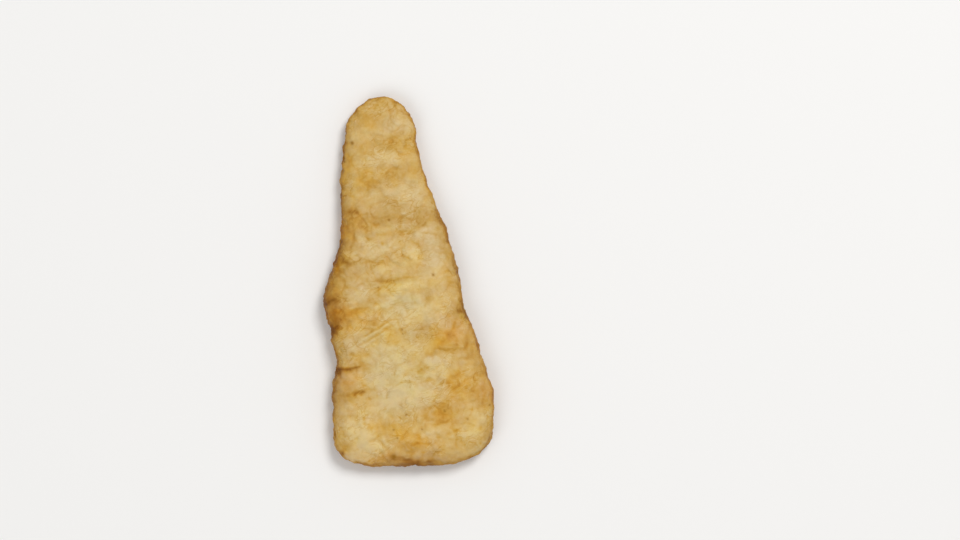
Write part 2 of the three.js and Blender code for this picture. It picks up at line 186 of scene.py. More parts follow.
# Small pale bumps and, with a strength below 0, golden dimples: x, y, reach along, reach across, direction,
# strength as a change of tone.
SPOTS = [
    # the tail half, pale
    (-11, 14.3, 0.9, 0.9, 0, 0.12), (-16.5, 1, 1, 1.2, 0, 0.12), (-20, 18.4, 1.8, 2.9, 5, 0.16),
    (-2.5, 29, 1.3, 0.8, 0, 0.14), (-2.6, 24.2, 0.9, 2.4, 0, 0.1), (-1, 12.8, 1.6, 1, 0, 0.1),
    (1.2, 13.9, 2.2, 1.3, 10, 0.12), (3.4, 9.4, 3, 1.4, -30, 0.09), (-2, 8, 1.2, 1, 0, 0.08),
    (7, 19.1, 0.9, 0.5, 0, 0.08), (-0.3, 20.6, 1.1, 0.8, 0, 0.16), (-12, 4, 2.5, 1.2, 10, 0.06),
    (-8, 5.6, 2, 1, 20, 0.08), (-5.6, 7.3, 2.2, 0.8, -15, 0.09), (-7.4, -0.3, 0.9, 0.8, 0, 0.1),
    (11.5, 9, 3, 2, 10, 0.04), (16.3, 16, 0.7, 0.8, 0, 0.14), (-16.5, 7, 1.5, 1, 0, 0.06),
    (-29, 6.5, 1.5, 0.8, 0, 0.12), (3, 19.6, 2, 1, 20, 0.06), (13.5, 13.2, 0.9, 0.6, 0, 0.07),
    # the tail half, golden
    (-26.3, 23, 0.7, 0.7, 0, -0.12), (-28, 23.5, 0.6, 0.6, 0, -0.18), (-25.5, 29.7, 0.9, 0.9, 0, -0.18),
    (-22.5, 29.3, 0.9, 0.7, 0, -0.14), (-18, 29, 0.7, 0.7, 0, -0.1), (-17.5, 18, 1, 1.2, 0, -0.12),
    (-27.5, 17, 2.2, 0.9, 5, -0.15), (-11.4, 16, 0.7, 0.7, 0, -0.2), (-8.2, 14.6, 0.8, 0.45, 0, -0.14),
    (-12.8, 14.3, 0.5, 0.5, 0, -0.1), (-9.6, 9.2, 1.6, 1.1, 0, -0.07), (-10, 0.2, 1.2, 0.7, 5, -0.1),
    (-7, -4.2, 1.4, 0.9, 0, -0.12), (-17, -3, 1.4, 1, 0, -0.09), (-26.5, -2, 1.2, 1.5, 0, -0.12),
    (-31, 2.5, 1, 1, 0, -0.18), (12.4, 22.5, 0.8, 0.7, 0, -0.14), (13, 12, 0.7, 0.6, 0, -0.08),
    (15, 17, 1, 1.2, 0, -0.14), (7.3, 18.1, 1, 0.4, 0, -0.12), (16, 4.5, 1.6, 1, 10, -0.12),
    (13.6, 17.5, 1, 3.4, 0, -0.07),
    # the middle, pale
    (-7, -7, 2.6, 1.5, 0, 0.05), (-8.7, -13.5, 1.2, 2, 0, 0.1), (-2.2, -14.3, 0.9, 2.3, 5, 0.12),
    (1.5, -11, 1.1, 0.7, 30, 0.08), (1.7, -13.6, 1, 0.7, 0, 0.08), (4, -7.5, 1, 2, 0, 0.1),
    (-1, -7, 2.5, 1.4, 0, 0.06), (22.5, -14.5, 2, 1, 15, 0.12), (13.5, -17.5, 2, 1.4, 0, 0.06),
    (9, -17, 3, 1.6, 0, 0.05), (-1.5, -19, 2.4, 1.3, 0, 0.07), (2, -29.5, 1.5, 1, 0, 0.07),
    (12, -34.5, 1.3, 1, 30, 0.14), (13.5, -36, 1, 0.8, 0, 0.1), (8, -33, 1.4, 2, 0, 0.08),
    (-17.5, -36.5, 2, 0.8, 0, 0.12), (-24, -25, 4, 2.4, 20, 0.05), (23.2, -20, 1.6, 2.4, 0, 0.06),
    # the middle, golden
    (-14.5, -17.5, 1.5, 0.9, 10, -0.09), (-22.3, -13.2, 4.6, 1.3, 14, -0.14), (-9.5, -26.3, 2, 1, 0, -0.08),
    (-5.5, -26.5, 1.2, 1, 0, -0.06), (-17.8, -31, 1.2, 1.2, 0, -0.12), (-24, -31, 1, 0.8, 0, -0.1),
    (-28.5, -28, 1.5, 1.5, 0, -0.1), (-17, -8, 0.9, 1.2, 0, -0.12), (-15, -8.5, 2, 1.5, 0, -0.05),
    (8.6, -6.6, 1.4, 1.9, 0, -0.11), (2.5, -8.7, 0.6, 0.5, 0, -0.14), (-0.9, -13, 0.5, 0.5, 0, -0.1),
    # The golden dimple at (22, -12.5) takes its colour as painted shade, the dark of the gap at a notch in
    # the right edge.
    (16.5, -14.6, 1.6, 1, 0, -0.08), (22, -12.5, 2, 1.2, 5, -0.17), (17, -22.5, 1.2, 0.9, 10, -0.1),
    (11.5, -22, 1.4, 1, 0, -0.05), (5.7, -20.2, 0.8, 0.5, 0, -0.1), (2, -25.5, 1.3, 1, 0, -0.06),
    (24.7, -27.3, 0.7, 1.2, -10, -0.24), (23.5, -29.4, 0.8, 0.6, 0, -0.12),
    (20.4, -27.1, 0.6, 0.5, 0, -0.12), (7.5, -36.5, 2, 1.4, 20, -0.1),
    # the butt half, pale
    (9, -39.5, 2.5, 1.5, 20, 0.07), (12, -41.5, 1, 1, 0, 0.08), (11.7, -43, 0.8, 0.8, 0, 0.08),
    (3, -46, 1.5, 1, 0, 0.08), (8.5, -47.5, 1.6, 1, 30, 0.08), (16, -48, 2.5, 1.5, 10, 0.12),
    (13.8, -50, 1.2, 1.2, 0, 0.12), (8, -52, 3, 1.5, 0, 0.1), (30.3, -44, 0.7, 0.8, 0, 0.14),
    (-20.3, -63.6, 1.6, 1.5, 40, 0.14), (-19.6, -66, 1.4, 1.4, 0, 0.1), (-19.4, -70.2, 1.5, 2, 0, 0.12),
    (-16, -69.5, 5, 1.5, 0, 0.05), (-5.5, -59.8, 2, 1, 0, 0.1), (-10.2, -57.7, 0.7, 1, 0, 0.12),
    (9, -65.5, 2.5, 1.5, 20, 0.08), (12.5, -64.6, 1, 1, 0, 0.1), (18.5, -66.3, 1.2, 0.8, 0, 0.1),
    (32, -68.7, 0.7, 0.6, 0, 0.14), (7, -76.7, 0.9, 0.6, 0, 0.2), (-3, -45.5, 3, 1.5, 20, 0.08),
    (-12, -43.5, 2, 1.4, 0, 0.08), (-23.5, -62.6, 1.6, 1.2, 0, 0.07), (26, -65.5, 2.2, 1.4, 20, 0.06),
    # the butt half, golden
    (14, -43.7, 1.1, 0.6, 10, -0.14), (16.8, -43.5, 0.8, 0.8, 0, -0.2), (19, -40.5, 2.5, 1.2, 0, -0.12),
    (21, -38.2, 0.9, 0.7, 0, -0.16), (22, -39.5, 0.9, 0.6, 0, -0.08), (18.9, -45.9, 1, 0.8, 0, -0.08),
    (24.5, -45.3, 0.7, 0.7, 0, -0.12), (25, -43.8, 0.7, 0.5, 0, -0.12), (14.3, -52.8, 1.5, 1.2, 0, -0.14),
    (18.2, -58, 0.9, 1.5, 0, -0.1), (7, -57.5, 0.9, 1.4, 0, -0.14), (11, -56.5, 1.5, 1, 0, -0.08),
    (26.6, -54.8, 0.9, 0.7, 0, -0.16), (32, -51, 2.5, 1.2, 0, -0.1), (32, -46.3, 0.7, 0.7, 0, -0.12),
    (-19.1, -58.9, 0.6, 1.1, 10, -0.26), (-19, -61, 0.7, 0.5, 0, -0.2), (-16.5, -62.8, 1.2, 1.1, 0, -0.2),
    (-28.2, -64.3, 1.2, 0.8, 0, -0.16), (-21.8, -71.9, 0.6, 0.6, 0, -0.14),
    (-19.3, -73.4, 1.3, 0.9, 0, -0.12), (-14.5, -74, 0.8, 0.8, 0, -0.08), (-17, -76.5, 1.2, 1.5, 0, -0.12),
    (-12, -62, 2, 0.8, 0, -0.08), (-3, -67, 1.3, 1.2, 0, -0.12), (4.3, -66, 0.8, 1, 0, -0.14),
    (4.3, -69.2, 1.5, 0.6, 10, -0.18), (2, -69.8, 1.5, 0.7, 20, -0.14), (20, -63.8, 1.4, 0.6, 5, -0.22),
    (17, -65.3, 0.8, 0.7, 0, -0.12), (12.5, -67, 1, 0.5, 0, -0.12), (17.8, -67.8, 0.9, 0.5, 0, -0.12),
    (30.5, -69.3, 0.8, 0.6, 0, -0.14), (30.5, -63, 0.6, 0.9, 0, -0.14), (6, -73.3, 0.8, 0.6, 0, -0.16),
    (11, -74.3, 1, 1, 0, -0.14), (26.5, -75.2, 1.8, 0.9, 20, -0.22), (21.5, -76, 1.6, 0.6, 0, -0.12),
    (0.3, -72.8, 1.5, 3, 0, -0.12), (-23.3, -48.5, 1, 0.9, 0, -0.18), (-21, -47.6, 3.4, 1, 12, -0.1),
    (-23, -46, 1, 1.2, 0, -0.09), (-10.6, -54.6, 0.7, 0.7, 0, -0.16), (-30.7, -38.7, 1.3, 1.6, 0, -0.3),
    (1.2, -77.4, 3.4, 0.9, 3, -0.32), (8.6, -77.1, 1.3, 0.8, 0, -0.28),
]
SPOT_RISE = 0.6  # for a whole step of tone

# Each use of noise has a layer, a number of its own, so that no two match.

# Uneven batter: size of its lumps, rise, how much longer they are across the fillet, layer.
LUMPS = [
    (10, 0.3, 1.3, 0),
    (5.2, 0.24, 1.3, 1),
    (2.6, 0.17, 1.15, 2),
    (1.4, 0.09, 1, 3),
]
# Wrinkles across the narrow half: none before the first y and whole after the second.
WRINKLES = {"size": 3, "rise": 0.18, "longer": 3.2, "between": (-15, 20), "layer": 11}
# Bubbles, one in each cell of a pattern, which rise where its middle is nearer than "level" times the size.
BUBBLES = {"size": 2.2, "rise": 0.18, "level": 0.5, "layer": 2}
# Crinkles, fine furrows that come and go: size of what they go round, depth, half width as a rough share
# of the size, layer, layer of their gaps.
CRINKLES = [
    (7, 0.2, 0.11, 47, 44),
    (3.4, 0.15, 0.14, 48, 45),
]
CRINKLE_GAPS = {"size": 9, "between": (-0.35, 0.3)}  # of the noise: none below, whole above
# Blisters, flat-topped lumps scattered over the top, each in a shallow moat.
BLISTERS = {
    "count": 260,
    "reach": (0.9, 2.6),
    "longer": 1.7,  # at most
    "turn": (15, 35),  # degrees from +X, the mean and the spread
    "rise": (0.06, 0.24),
    "flatness": 4,
    "moat_depth": 0.4,  # of the rise
    "moat_at": 1.35,  # of the reach
    "moat_half_width": 0.3,  # of the reach
    "seed": 7,
}
OVERLAP_STEP = 0.55  # half width of an overlap's steep side
PATH_FADE = 5  # the higher, the nearer to its ends a path fades
WALL_LUMPS = 1.6  # how much rougher the side wall is than the top
FRAY = [(2.4, 0.35, 51), (1.2, 0.2, 52)]  # ragged edge: size, rise, layer

# How places stray before relief or masks are laid on them: size of the noise, how far, a layer per axis.
RELIEF_STRAYS = [(4, 0.25, (21, 22))]
CRINKLE_STRAYS = [(6, 1.4, (41, 42, 43))]
MASK_STRAYS = [(5, 2.2, (31, 32)), (1.8, 1, (33, 34))]

# Where relief shows. Facing is the upward part of a normal, and insets are measured in plan from the
# outline.
UPRIGHT_FACING = 0.25  # at the outline, at most
TOP_FACING = (0.1, 0.7)  # from wall to top
MOVING_HEIGHTS = (0.05, 1.2)  # from still to moving
FRAYED_INSETS = (0.5, 4)  # from frayed to not
SHAPED_INSETS = (0.3, 2.5)  # from bare to shaped

# Burnt specks and the pits under them: x, y, radius.
SPECKS = [
    (-3, -20.6, 0.45), (-2.7, -22.4, 0.3), (-1.2, -57.1, 0.45), (-6.6, -63.6, 0.45), (-5, -67.1, 0.4),
    (5.6, -63.4, 0.4), (25.1, -58.9, 0.45), (34.6, -52.9, 0.4), (15.2, -55.4, 0.5), (20.5, -27.1, 0.3),
    (10.3, 2.8, 0.6), (-13.2, -2.5, 0.4), (-8.6, 26.3, 0.6), (-24.4, 59.3, 0.75), (-28.6, 40.1, 0.8),
    (-28.6, 47.5, 0.6), (-27.9, 51.5, 0.6), (-6.5, -75.2, 1.1),
]
PIT_DEPTH = 0.1

# -------------------------------- colour masks, in millimetres

# Patches: x, y, reach along, reach across, direction, strength. Pale patches have a strength above 0 and
# golden ones below, as a change on the scale of tone.
TONE_PATCHES = [
    # the tail half
    (-10.6, 13.8, 9, 2.6, 5, 0.15), (1.6, 11.6, 3.4, 2.2, 20, 0.08), (3.4, 15.4, 3, 1.6, 0, -0.1),
    (-18.6, 9, 4, 1.8, 0, -0.1), (10, 12, 4, 11, 8, 0.15), (4, 20, 3.4, 1.5, 40, 0.1),
    (-19.4, -4.4, 4.4, 3, 0, 0.1), (-16.6, 0.4, 3, 1.6, 0, -0.13), (-20, 11, 5, 2, 6, 0.08),
    (-12, 26.5, 10, 3.6, 8, -0.15), (-23, 26, 4, 6, 0, -0.14), (5, 24.6, 4, 2.4, 20, -0.24),
    (-3, 20.5, 6, 1.1, 5, -0.1), (-9, 1.2, 8, 1.4, 6, -0.06), (-14, 7.2, 6.4, 1.4, 8, -0.09),
    (-26, 5, 5, 3, 0, -0.07), (-31, 18, 4.4, 16, 0, -0.3), (-25, 8, 6, 1.8, -4, -0.14),
    (-36, -3, 4.5, 9, 0, -0.22), (18.6, 15, 2.6, 12, 14, -0.16), (-25, 25, 5, 4, 0, -0.1),
    (-28, 10.8, 3.2, 4.4, 10, -0.2), (-33, -6, 4.4, 6.5, 0, -0.17), (-25, -7.4, 5, 2.4, 5, 0.12),
    (-31, -33, 3, 6, 0, -0.08), (14, 24, 3, 8, 25, -0.1), (-8, 4.6, 6, 2.4, 10, 0.07),
    (-4, -2.8, 8, 2, 8, 0.03), (-25, 29.5, 4, 3, 0, -0.12), (7, 29.5, 5, 2.6, 0, -0.1),
    (16, 20.4, 2, 4, 10, -0.12), (-15, 6, 3, 1.6, 0, 0.1), (-20, 13.5, 3, 4, 0, -0.07),
    (-19, 21.4, 3, 2.6, 0, -0.1), (-30, 5.5, 2.6, 2, 0, 0.1),
    # under the tail's tip
    (-13, 52, 9, 3, 10, 0.12), (-3, 67, 5, 4, 0, 0.1), (2, 38, 5, 4, 0, 0.12), (-14, 37, 8, 2.6, 8, 0.08),
    (-12, 44, 12, 3, 14, -0.12), (-8, 60, 9, 2.6, 10, -0.12), (-18, 70, 6, 3.6, 0, -0.16),
    (0, 50, 5, 3, -40, -0.12), (-28, 52, 3, 14, 0, -0.16), (-25, 51, 1.7, 2.6, 0, -0.18),
    (-24.6, 46.4, 1.4, 1.4, 0, -0.08), (-26.4, 63, 2.4, 4, 0, -0.07), (7, 58, 2.6, 12, 10, -0.08),
    # the middle
    (-3, -6.4, 8, 2.4, 0, 0.14), (-6, -13.4, 2.2, 2, 0, -0.06), (1, -12, 7, 4, 0, 0.18),
    (12, -12, 5, 4.6, 0, 0.08), (-4, -18.5, 4, 2.6, 0, 0.12), (-27.4, -27.6, 3.4, 2.4, 0, 0.05),
    (-19, -27, 3, 2, 20, 0.1), (-12, -30, 7, 3.6, 30, 0.14), (-5, -35.5, 9, 5.5, 25, 0.18),
    (12, -34.5, 5, 3.2, 40, 0.16), (14, -39.6, 3.2, 2.8, 0, 0.16), (-15, -6.5, 4, 2.4, 30, -0.05),
    (-24.4, -9.6, 4, 1.8, 5, -0.12), (8, -7.6, 2.6, 2, 0, -0.09), (-15.6, -14.4, 6, 2.4, 20, 0.09),
    (-28.6, -14.2, 6.4, 4.4, 5, -0.21), (15.4, -24.2, 5.8, 3.8, -10, -0.29),
    (19.5, -19.5, 1.6, 3.2, -10, -0.1), (25.5, -26, 2.6, 6, 20, -0.16), (-33, -19.8, 4.7, 4.6, 0, -0.28),
    # The patch at (23.6, -11.6) is painted shade of the gap at the notch in the right edge.
    (23.6, -11.6, 3, 5, 20, -0.33), (-7, -25, 4, 2.4, 10, 0.04), (-13, -25.4, 4, 1.6, 30, 0.1),
    (10.4, -31, 3.4, 1.5, 0, -0.2), (16, -29.4, 6, 2, 0, -0.15), (18.8, -14.4, 2.8, 3, 0, -0.16),
    (21, -8.2, 2, 2.4, 10, 0.18), (19.4, -4, 2.4, 2.4, 10, -0.05), (29.4, -36.4, 3.2, 4.4, 20, -0.16),
    # the butt half
    (1, -40.6, 4, 2, 0, 0.16), (-13, -62, 3.4, 1.8, 0, 0.09), (-31, -47, 2.4, 2.4, 0, 0.1),
    (20, -62, 3, 1.6, 0, 0.08), (-21, -75.4, 8, 2.6, 4, 0.36), (-4, -77.4, 3, 1.4, 0, 0.12),
    (11.5, -76.8, 3.4, 1.6, 0, 0.12), (-12, -43, 7, 4, 0, 0.14), (-4, -50, 9, 4.6, 20, 0.18),
    (6, -46.5, 7, 3.6, 0, 0.13), (5, -53.4, 5, 2.2, 0, 0.05), (-16, -55, 5, 2.6, 20, 0.1),
    (-4, -57, 3, 1.8, 0, 0.07), (-20.6, -64.6, 5.6, 4.6, 0, 0.16), (-16, -71, 6, 3, 0, 0.14),
    (-25, -60, 4, 3, 0, 0.1), (10, -65, 4.6, 2, 15, 0.04), (30, -58, 3, 6, 0, 0.16),
    # The patches at (-24, -37) and (-29.4, -37.7) darken the band along the big crease: partly its
    # browning, partly painted shade under the lap that hangs over it.
    (26.4, -64.4, 4, 3.6, 0, 0.07), (33.6, -65.4, 2.6, 4, 0, -0.15), (-24, -37, 7, 1.7, 8, -0.21),
    (-29.4, -37.7, 3, 1.5, 0, -0.09), (-28, -43, 5, 3.6, 0, -0.1), (-22.5, -48.2, 4.6, 1.5, 10, -0.19),
    (-31, -50, 3, 4, 0, -0.12), (5, -38.2, 1.8, 1.2, 35, -0.05), (22, -44, 8, 5, 20, -0.12),
    (32, -50, 5, 6, 0, -0.12), (15, -56, 4.6, 4.4, 0, -0.2), (-5, -63, 8, 3.8, 10, -0.1),
    (3.6, -70, 5, 2.2, 10, -0.13), (-18, -59, 3, 1.8, 0, 0.12), (0, -78, 24, 3, 0, -0.12),
    (30.6, -73, 3, 2.4, 40, 0.12), (-33, -58, 3, 6, 0, -0.08),
]
# Vivid patches have a strength above 0 and dull, greyish ones below.
VIVID_PATCHES = [
    # the tail half
    (-3, -1.8, 10, 2.6, 8, 0.85), (2, 11.6, 3.4, 4, 20, 0.75), (-10, 5.4, 7, 2.2, 10, 0.5),
    (12, 3, 3, 6, -60, 0.4), (-12, 23, 8, 4, 0, 0.5), (-22, 26, 4, 4, 0, 0.5), (-21, 1, 6.6, 7, 0, -0.85),
    (-16, -1, 3.4, 2, 0, -0.5), (-20.4, 18.4, 5.6, 3, 0, -0.9), (-17, 9.4, 3.4, 2.2, 0, -0.6),
    (3, 22.5, 4, 4, 0, -0.6), (9.5, 12, 3.2, 9, 5, -0.9), (12, 17, 3, 6, 0, -0.4), (-10, 14, 6, 2, 5, 0.2),
    (-3, 29.2, 22, 4, 0, -1.3), (10, 28.6, 3, 3, 0, -0.5), (15.8, 21, 1.8, 3, 0, 1.4),
    (-23.4, 16, 3, 2.4, 0, -0.7), (18, 13.4, 2.8, 11, 15, -1.8), (-32.4, 8, 2.6, 3.6, 0, 2.1),
    (-28.4, 3.6, 2.6, 2.4, 0, -0.6), (-29.2, 22.4, 3, 4.4, 0, 1.5), (-30, 13, 2.4, 3, 0, -0.5),
    (-10, 20, 24, 14, 0, -0.2), (2.4, 9.4, 3.4, 2, -30, 0.3),
    # under the tail's tip
    (-20, 45, 5, 7, 0, 0.6), (-2, 56, 6, 4, 20, 0.5), (-10, 38, 6, 3, 0, -0.5), (-8, 66, 6, 4, 0, -0.5),
    # the middle
    (13, -25, 6, 4, 20, 1.3), (-21, -13.5, 7, 2.8, 10, 0.9), (-32, -13.5, 5, 3, 5, 1.2),
    (-22.4, -19, 6, 2.2, 5, 0.5), (-7.5, -23.5, 6, 2.8, -40, 0.7), (13, -7, 3, 6, 10, 0.4),
    (19.6, -19, 2, 3, 0, 0.8), (-25, -26.4, 5.4, 3.2, 0, -0.9), (-14.6, -24.4, 2.6, 2, 30, 0.6),
    (-3.6, -10, 5, 4, 0, -0.7), (4.6, -12.4, 3, 2.6, 0, 0.5), (7, -18, 2.6, 3.6, -40, -1),
    (2, -22.5, 3, 5, 0, -0.6), (25, -14.6, 2, 3, 20, 0.5), (-32.4, -24, 1.8, 3, 0, 0.5),
    (12, -33, 5, 2.4, 0, -0.7), (11, -37.4, 4, 2, 0, 0.8), (-30.4, -40.4, 2.6, 2.4, 0, -1),
    (10, -5, 5, 2.8, 20, -0.6), (-31.4, -31, 2.4, 3, 0, 0.6), (-12, -37, 8, 6, 20, -0.8),
    (18.6, -14.4, 3, 4.6, 20, -1.2), (29.6, -27.6, 2.4, 3, 0, 0.5), (30, -36, 3, 6, 20, -0.6),
    (-32.6, -9.6, 3, 2.4, 0, -1.1), (-26, -10.4, 3.6, 1.6, 0, -0.8),
    # the butt half
    (-17, -75.6, 6, 2.6, 0, 1.1), (-24, -70.4, 3, 3, 0, 0.6), (-32, -66, 2.6, 5, 0, 0.6),
    (-32, -56, 2.4, 3.4, 0, -0.7), (35, -68, 3.2, 5, 0, -1.4), (21.4, -43, 5.6, 4.6, -70, 1.1),
    (-8, -63, 12, 3, 0, 0.7), (2, -67.5, 10, 3.4, -10, 0.8), (-18, -61.5, 8, 3, 0, 0.5),
    (26.2, -63.2, 6, 7, 0, 0.58), (-23, -42, 4, 4, 0, 0.4), (-21, -53, 4, 6, 60, 0.4),
    (-3, -50, 12, 7, 0, -0.55), (-25, -71, 5, 5, 0, -0.4), (-27.4, -49.8, 4, 3, 0, -1),
    (3, -77.2, 9, 2.4, 0, -2), (15, -56, 4, 4, 0, 0.4), (14, -60, 20, 14, 0, 0.3),
    (23, -50.4, 4, 3, 0, 0.6), (8, -44, 3.4, 2.2, 0, -0.45), (34.4, -53, 2, 3, 0, 0.45),
    (-25, -70, 8, 8, 0, 0.3),
]
# Pinkish patches have a strength above 0 and greenish ones below.
TINT_PATCHES = [
    # the tail half
    (-27, 22, 4, 4, 0, 0.6), (-19, 28.6, 6, 3, 0, 0.4), (16, -2, 3, 6, 0, 0.2), (-10, 8.4, 3, 2, 0, 0.35),
    (-6, 0, 9, 2.6, 6, -0.5), (-24, 3, 4, 3, 0, 0.2), (-28, 9, 2.6, 3, 0, -0.4),
    # the middle
    (-31, -13.6, 6, 4.4, 0, 1), (-21, -17, 6, 4, 0, 0.4), (19, -21, 6.4, 6.4, 0, 1),
    (27, -30, 4, 7, 0, 0.3), (-3, -9, 10, 4.6, 0, -0.55), (-14, -19, 3, 2.4, 30, -0.35),
    # The greenish patch at (24.6, -12.4) is painted shade of the gap at the notch in the right edge.
    (24.6, -12.4, 2.4, 3, 0, -2.6), (-6, -33, 14, 15, 0, -0.4), (4.8, -38.2, 1.6, 1.1, 35, -0.5),
    (-15, -15, 4, 3, 0, 0.3),
    # the butt half
    (-27, -42.6, 5.4, 5.6, 0, 1.15), (33, -47, 4, 4.4, 0, 1), (21, -46, 8, 8, 0, 0.5),
    (4, -69, 11, 4.6, 0, 0.65), (-8, -76.6, 25, 3.4, 0, 1.1), (14, -57, 9, 5, 0, 0.4),
    (-28, -73, 3, 3, 0, 0.5), (-30.6, -38.8, 2, 2, 0, 0.6), (-16, -60, 4, 3, 0, 0.4),
    (-29, -55, 4, 4, 0, 0.35), (0, -45, 8, 5, 0, -0.3),
]
# Toasted patches, which are browner the higher their strength.
TOASTED = [
    (-32.4, -20.4, 2, 2.8, 0, 0.85), (-35.4, -8.4, 2.4, 1.6, 10, 0.9), (-30.9, -39.5, 1.5, 1.9, 0, 0.7),
    (-31.8, 9, 1.3, 5, 14, 0.65), (-32, -14.2, 4.5, 2.4, 5, 0.35), (-6, -75.9, 3.6, 1.3, 0, 0.6),
    (3, -78, 8, 1.8, 2, 0.6), (-28.6, -73, 1.8, 3.2, -40, 0.7), (-30.6, 26, 1.6, 8, 0, 0.35),
    (29.6, -27, 1.4, 5, 20, 0.2), (25.2, -14, 1.4, 6, 26, 0.3),
]

BASE_TONE = 0.855
LOWEST_TONE = 0.16
BASE_VIVID = 0.27
BASE_TINT = 0.555

# How much paler, or below 0 how much browner, each thing makes the crust. Relief counts per mm. For the
# relief this is partly painted light on rough lumps, lobes and ribs and painted shade in crinkles and
# creases, over the batter's own browning.
TONE_OF = {
    "rough": 0.08,
    "lobes": 0.18,
    "crinkles": -0.5,
    "ribs": 0.45,
    "creases": -0.7,
    "patches": 0.9,
    "rim": -0.08,
    "wall": -0.08,
    "toasted": -0.45,
}
VIVID_OF_PATCHES = 0.45
VIVID_OF_GOLDEN = 0.8  # for a whole step of tone in a golden dimple
GOLDEN_OF_CREASES = 0.3  # step of tone per mm; the richer gold in creases is partly painted shade, partly browning
TINT_OF_PATCHES = 0.27
SPECK_STRENGTH = 1.3  # above 1, so that a speck's middle is evenly burnt

RIM_INSETS = (0, 2.6)  # from rim to not
TOASTED_RIM = {"strength": 0.6, "insets": (0, 1.2)}  # from toasted to not, as below
TOASTED_FOOT = {"strength": 0.7, "heights": (0.5, 6)}
TOAST_BREAKS = {"size": 6, "layer": 35}  # the noise that breaks up both
WALL_FADE = {"share": 0.75, "heights": (2, 11)}  # how much of its patches the wall loses low down
WALL_MOTTLES = [(7, 0.09, 36), (3, 0.07, 37)]  # size, change of tone, layer

# -------------------------------- shape

# From one layer of noise or cells to the next, in sizes of the pattern.
NOISE_STEP = (17.3, 5.1, 9.7)
CELL_STEP = (3.7, 11.9, 7.3)


def finer_copy(node, name, levels):
    """The node's mesh as a new object: welded, turned back into quads and subdivided smoothly."""
    weld_gap = 0.002 * MM
    any_angle = math.pi
    work = bmesh.new()
    work.from_mesh(node.data)
    bmesh.ops.remove_doubles(work, verts=work.verts, dist=weld_gap)
    bmesh.ops.join_triangles(
        work, faces=work.faces, angle_face_threshold=any_angle, angle_shape_threshold=any_angle
    )
    cage = bpy.data.meshes.new(name + "_cage")
    work.to_mesh(cage)
    work.free()
    obj = bpy.data.objects.new(name, cage)
    bpy.context.scene.collection.objects.link(obj)
    finer = obj.modifiers.new("finer", "SUBSURF")
    finer.levels = levels
    finer.render_levels = levels
    smooth = obj.evaluated_get(bpy.context.evaluated_depsgraph_get())
    obj.data = bpy.data.meshes.new_from_object(smooth)
    obj.modifiers.clear()
    bpy.data.meshes.remove(cage)
    return obj


def vertex_array(mesh, collection, field):
    """A field of three numbers per vertex, as rows."""
    values = np.empty(len(mesh.vertices) * 3)
    getattr(mesh, collection).foreach_get(field, values)
    return values.reshape(-1, 3)


def smoothstep(values, low, high):
    """0 up to low, 1 from high on and a smooth step between them."""
    t = np.clip((values - low) / (high - low), 0, 1)
    return t * t * (3 - 2 * t)


def noise_field(points, size, layer):
    """Perlin noise from -1 to 1 at points in mm."""
    offset = Vector([layer * step for step in NOISE_STEP])
    return np.array([noise.noise(Vector(p) + offset) for p in points / size])


def cell_field(points, size, layer):
    """How far each point is from the nearest cell's middle, as a share of the size."""
    offset = Vector([layer * step for step in CELL_STEP])
    return np.array([noise.voronoi(Vector(p) + offset)[0][0] for p in points / size])


def strayed(places, points, strays):
    """The places, each moved by the noise at its point."""
    for size, reach, layers in strays:
        stray = np.stack([noise_field(points, size, layer) for layer in layers], axis=1)
        places = places + reach * stray
    return places


def squared_distance(xy, x, y, along, across, turn):
    """How far each place is from an ellipse's middle, squared, where 1 is its reach."""
    angle = math.radians(turn)
    dx, dy = (xy - (x, y)).T
    far_along = (dx * math.cos(angle) + dy * math.sin(angle)) / along
    far_across = (dy * math.cos(angle) - dx * math.sin(angle)) / across
    return far_along**2 + far_across**2


def patch_field(xy, patches):
    """The sum of soft elliptical patches."""
    return sum(strength * np.exp(-squared_distance(xy, *ellipse)) for *ellipse, strength in patches)


def speck_field(xy, strength):
    """The sum of the specks, each of this strength in its middle."""
    return sum(
        strength * np.exp(-(((xy - (x, y)) ** 2).sum(1)) / radius**2) for x, y, radius in SPECKS
    )


def scattered_blisters():
    """Blisters as x, y, reach along, reach across, direction and rise."""
    dice = random.Random(BLISTERS["seed"])
    low, high = (np.array(corner[:2]) / MM for corner in CAD_BOX)
    blisters = []
    for _ in range(BLISTERS["count"]):
        x, y = (dice.uniform(*ends) for ends in zip(low, high))
        across = dice.uniform(*BLISTERS["reach"])
        along = across * dice.uniform(1, BLISTERS["longer"])
        turn = dice.gauss(*BLISTERS["turn"])
        blisters.append((x, y, along, across, turn, dice.uniform(*BLISTERS["rise"])))
    return blisters


def blister_field(xy, blisters):
    """Height of flat-topped lumps in their moats."""
    total = np.zeros(len(xy))
    for *ellipse, rise in blisters:
        out = np.sqrt(squared_distance(xy, *ellipse))
        lump = np.exp(-(out ** BLISTERS["flatness"]))
        in_moat = np.exp(-(((out - BLISTERS["moat_at"]) / BLISTERS["moat_half_width"]) ** 2))
        total += rise * (lump - BLISTERS["moat_depth"] * in_moat)
    return total


